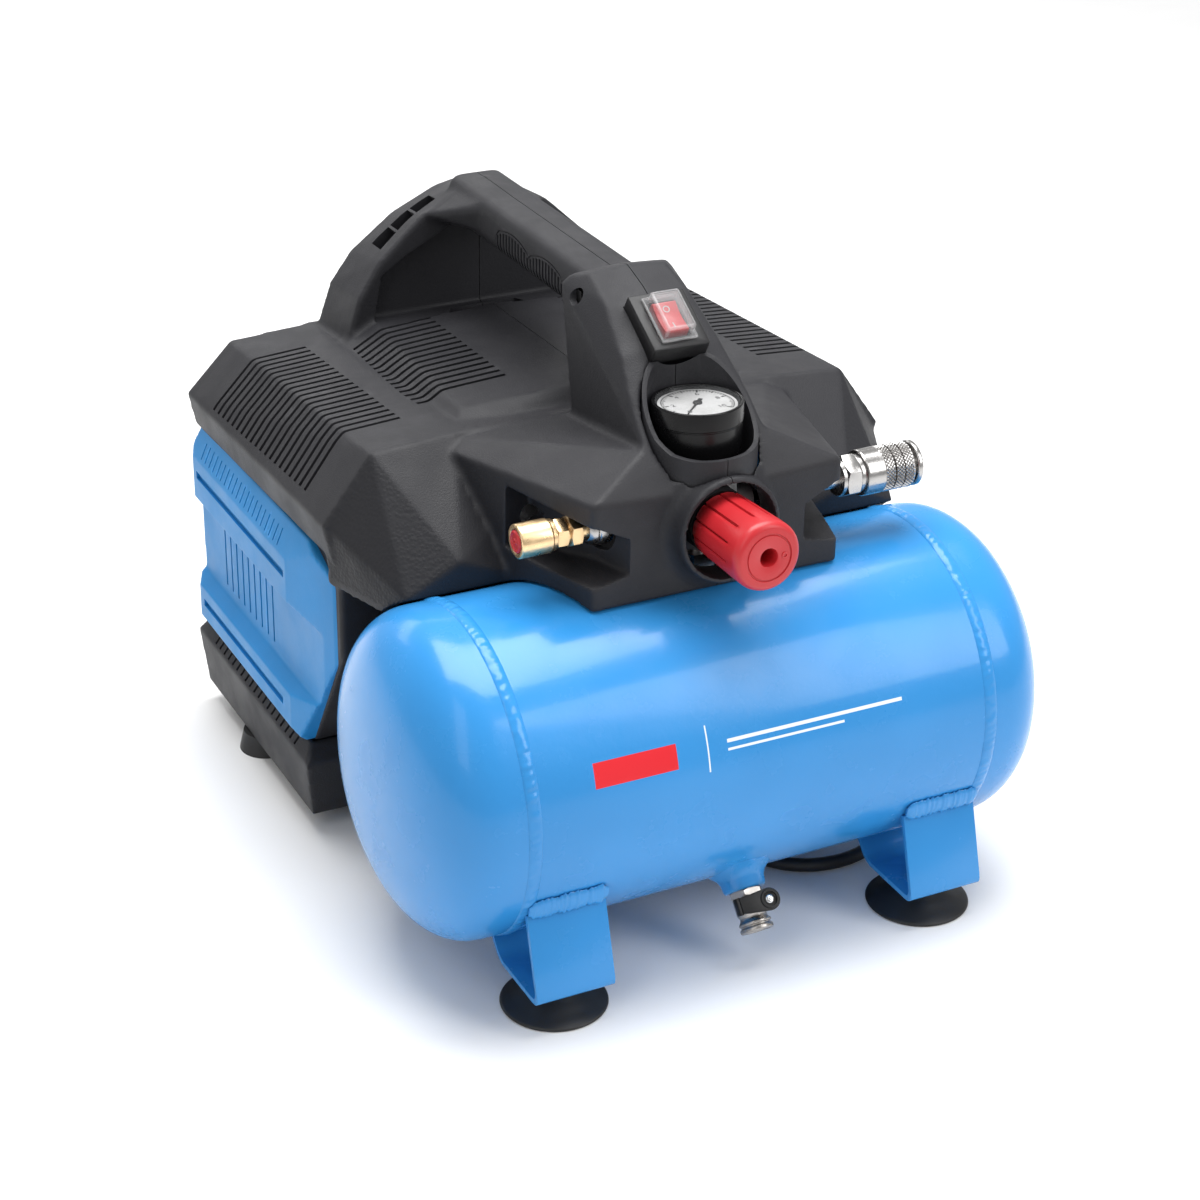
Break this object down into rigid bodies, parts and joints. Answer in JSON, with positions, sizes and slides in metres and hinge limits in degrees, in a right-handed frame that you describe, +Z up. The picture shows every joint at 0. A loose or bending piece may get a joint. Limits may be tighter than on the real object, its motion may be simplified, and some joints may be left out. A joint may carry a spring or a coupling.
{
  "type": "air compressor",
  "caption": "Small portable air compressor with a lying tank in front, a motor and pump housing with a carrying handle behind it, and a console with knob, gauge, switch and valves.",
  "frame": {"origin": "centre of the base, on the floor under the compressor, measured without the free mains lead", "axes": "+Z up, +X along the tank towards the quick coupler, -Y towards the user and the knob"},
  "size_m": [0.3465, 0.4705, 0.307],
  "materials": {
    "tank_paint": "gloss",
    "cover_plastic": "satin",
    "housing_plastic": "fine texture",
    "black_plastic": "semi-gloss",
    "rubber": "matte",
    "zinc_steel": "zinc plated",
    "nickel": "polished",
    "valve_metal": "cast and plated",
    "brass": "turned",
    "red_plastic": "satin",
    "dial_white": "printed card",
    "needle_black": "matte",
    "clear": "clear",
    "cast_aluminium": "as cast",
    "laminations": "stacked sheet"
  },
  "bodies": {
    "frame": {"tank_shell": "tank_paint", "tank_end_left": "tank_paint", "tank_end_right": "tank_paint", "tank_welds": "tank_paint", "bracket_left": "tank_paint", "bracket_right": "tank_paint", "bracket_welds": "tank_paint", "front_foot_left": "rubber", "front_foot_right": "rubber", "foot_bolts": "zinc_steel", "rear_feet": "rubber", "drain_boss": "tank_paint", "drain_body": "valve_metal", "riser_nipple": "nickel", "regulator_body": "cast_aluminium", "regulator_bonnet": "black_plastic", "regulator_spring": "zinc_steel", "gauge_case": "black_plastic", "gauge_dial": "dial_white", "gauge_lens": "clear", "gauge_cup": "housing_plastic", "safety_valve_body": "brass", "coupler_body": "nickel", "pressure_switch": "black_plastic", "check_valve": "brass", "delivery_tube": "cast_aluminium", "housing_left": "housing_plastic", "housing_right": "housing_plastic", "base_tray": "housing_plastic", "end_cover_left": "cover_plastic", "end_cover_right": "cover_plastic", "switch_frame": "black_plastic", "switch_boot": "clear", "housing_screws": "zinc_steel", "motor_stator": "laminations", "motor_end_bell": "cast_aluminium", "shaft_bearings": "zinc_steel", "crankcase": "cast_aluminium", "pump_cylinder": "cast_aluminium", "valve_plate": "zinc_steel", "cylinder_head": "cast_aluminium", "intake_filter": "black_plastic", "strain_relief": "rubber", "power_cord": "rubber", "cord_coil": "rubber", "plug": "black_plastic"},
    "knob": {"regulator_knob": "red_plastic"},
    "drain_tap": {"drain_lever": "black_plastic", "drain_plug": "zinc_steel"},
    "rocker": {"switch_rocker": "red_plastic"},
    "sleeve": {"coupler_sleeve": "nickel"},
    "needle": {"gauge_needle": "needle_black"},
    "relief_stem": {"safety_valve_stem": "red_plastic"},
    "rotor": {"motor_rotor": "laminations", "motor_shaft": "zinc_steel", "motor_fan": "black_plastic", "crank_eccentric": "valve_metal"},
    "rod": {"connecting_rod": "cast_aluminium", "rod_bearing": "zinc_steel"},
    "piston": {"piston": "cast_aluminium"}
  },
  "joints": [
    {"name": "knob_turn", "type": "hinge", "parent": "frame", "child": "knob", "pos_m": [0, -0.1008, 0.212], "axis": [0, -0.999, 0.0454], "range_deg": [-720, 720]},
    {"name": "drain_turn", "type": "hinge", "parent": "frame", "child": "drain_tap", "pos_m": [0.005, -0.16757, 0.02817], "axis": [0, -0.7431, 0.6691], "range_deg": [0, 90]},
    {"name": "switch_tilt", "type": "hinge", "parent": "frame", "child": "rocker", "pos_m": [0, -0.06528, 0.28784], "axis": [1, 0, 0], "range_deg": [-12, 12]},
    {"name": "sleeve_slide", "type": "slide", "parent": "frame", "child": "sleeve", "axis": [-1, 0, 0], "range_m": [0, 0.0027], "stiffness_N_per_m": 600, "springref_m": -0.002},
    {"name": "needle_turn", "type": "hinge", "parent": "frame", "child": "needle", "pos_m": [0, -0.1008, 0.212], "axis": [0, -0.0454, -0.999], "range_deg": [0, 270]},
    {"name": "relief_lift", "type": "slide", "parent": "frame", "child": "relief_stem", "axis": [-1, 0, 0], "range_m": [0, 0.002], "stiffness_N_per_m": 1500, "springref_m": -0.001},
    {"name": "rotor_spin", "type": "hinge", "parent": "frame", "child": "rotor", "pos_m": [0, 0.083, 0.1], "axis": [1, 0, 0], "continuous": true},
    {"name": "rod_swing", "type": "hinge", "parent": "rotor", "child": "rod", "pos_m": [0.051, 0.083, 0.091], "axis": [1, 0, 0], "continuous": true},
    {"name": "piston_slide", "type": "slide", "parent": "frame", "child": "piston", "axis": [0, 0, 1], "range_m": [0, 0.018]}
  ],
  "couplings": [
    {"joint": "rod_swing", "follows": "rotor_spin", "ratio": -1}
  ]
}
